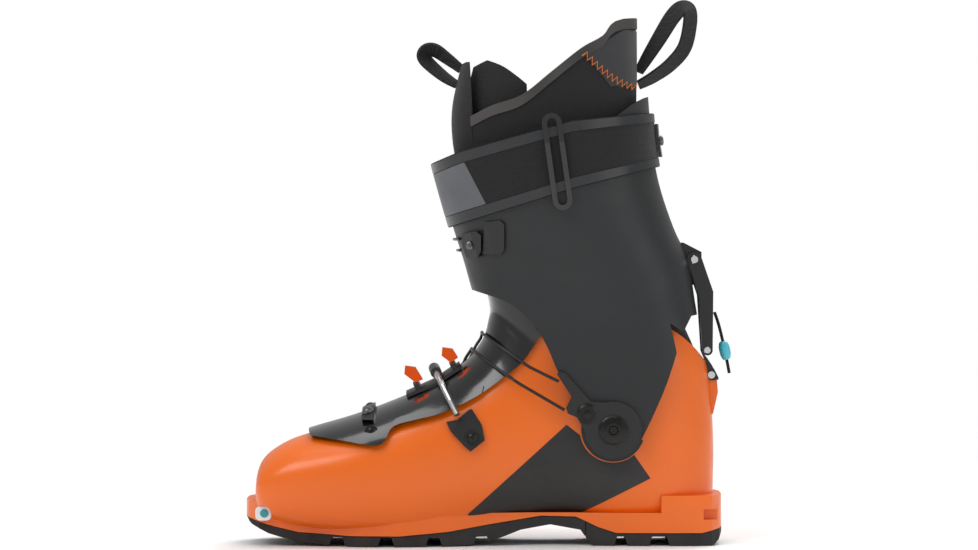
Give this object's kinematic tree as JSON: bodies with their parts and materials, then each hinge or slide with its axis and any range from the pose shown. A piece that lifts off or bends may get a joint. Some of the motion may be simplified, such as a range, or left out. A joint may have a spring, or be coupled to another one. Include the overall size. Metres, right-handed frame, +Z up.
{
  "type": "alpine touring ski boot",
  "caption": "Right alpine touring ski boot with a pivoting cuff, split tongue, liner, instep cable, buckles, power strap and rear ski/walk lock.",
  "frame": {"origin": "on the ground at the middle of the sole, halfway between the toe and the heel and between the sides", "axes": "+Z up, the toe towards -X, the medial side towards -Y"},
  "size_m": [0.3088, 0.1192, 0.3447],
  "materials": {
    "anodised_orange": "anodised",
    "bead_blue": "gloss",
    "cuff_grey": "satin moulded plastic",
    "dark_steel": "satin",
    "footbed_foam": "foam",
    "gloss_black": "gloss",
    "insert_white": "satin",
    "liner_fabric": "stitched foam",
    "orange_shell": "satin moulded plastic",
    "rubber": "matt",
    "satin_black": "satin",
    "steel": "satin",
    "webbing": "woven"
  },
  "bodies": {
    "shell": {"lower_shell": "orange_shell", "outsole_front": "rubber", "outsole_heel": "rubber", "boot_board": "satin_black", "footbed": "footbed_foam", "liner_foot": "liner_fabric", "toe_insert_medial": "steel", "toe_insert_lateral": "steel", "heel_insert": "insert_white", "tongue_lower": "gloss_black", "tongue_hinge_bracket": "satin_black", "tongue_hinge_screw_medial": "dark_steel", "tongue_hinge_screw_lateral": "dark_steel", "tongue_anchor_screw_medial": "steel", "tongue_anchor_screw_lateral": "steel", "anchor_bracket": "satin_black", "anchor_screw": "steel", "buckle_rack": "satin_black", "rack_guide_front": "anodised_orange", "rack_guide_rear": "anodised_orange", "cable_carrier_medial": "satin_black", "cable_carrier_lateral": "satin_black", "pivot_bolt_medial": "steel", "pivot_bolt_lateral": "steel", "instep_cable_upper": "steel", "instep_cable_lower": "steel", "ankle_lever_base": "satin_black", "ankle_lever_pin": "steel", "lock_housing": "satin_black", "heel_spine": "anodised_orange", "lock_housing_bolt": "steel"},
    "cuff": {"cuff_shell": "cuff_grey", "liner_cuff": "liner_fabric", "liner_tongue": "liner_fabric", "tongue_upper": "gloss_black", "power_strap": "webbing", "strap_ring_medial": "gloss_black", "strap_ring_lateral": "gloss_black", "strap_rear_plate": "gloss_black", "strap_rear_screw": "steel", "catch_plate": "satin_black", "catch_bracket": "satin_black", "catch_screw": "steel", "catch_wire_upper": "dark_steel", "catch_wire_lower": "dark_steel", "cuff_lever_base": "satin_black", "cuff_lever_pin": "steel", "lock_bracket": "satin_black", "lock_bar_pin": "steel", "rear_pull_loop": "webbing", "front_pull_loop": "webbing"},
    "lock_bar": {"lock_bar": "satin_black", "lock_pin": "steel", "pull_cord": "webbing", "cord_bead": "bead_blue"},
    "ankle_lever": {"ankle_lever": "anodised_orange"},
    "cuff_lever": {"cuff_lever": "anodised_orange"},
    "bail": {"bail_rod": "steel", "bail_barrel": "satin_black"},
    "pulley": {"cable_pulley": "dark_steel"}
  },
  "joints": [
    {"name": "cuff_lean", "type": "hinge", "parent": "shell", "child": "cuff", "pos_m": [0.0812, 0, 0.074], "axis": [0, -1, 0], "range_deg": [-20, 8]},
    {"name": "lock_release", "type": "hinge", "parent": "cuff", "child": "lock_bar", "pos_m": [0.1339, 0, 0.1807], "axis": [0, -1, 0], "range_deg": [0, 25]},
    {"name": "ankle_lever_swing", "type": "hinge", "parent": "shell", "child": "ankle_lever", "pos_m": [-0.015, 0.05085, 0.081], "axis": [1, 0, 0], "range_deg": [0, 110]},
    {"name": "cuff_lever_swing", "type": "hinge", "parent": "cuff", "child": "cuff_lever", "pos_m": [0.0025, 0.04615, 0.194], "axis": [0, 0, 1], "range_deg": [0, 110]},
    {"name": "bail_swing", "type": "hinge", "parent": "shell", "child": "bail", "pos_m": [-0.0153, -0.0497, 0.0845], "axis": [0.8944, 0, 0.4472], "range_deg": [0, 50]},
    {"name": "pulley_spin", "type": "hinge", "parent": "shell", "child": "pulley", "pos_m": [0.065, -0.05, 0.0842], "axis": [0, 1, 0], "continuous": true}
  ]
}
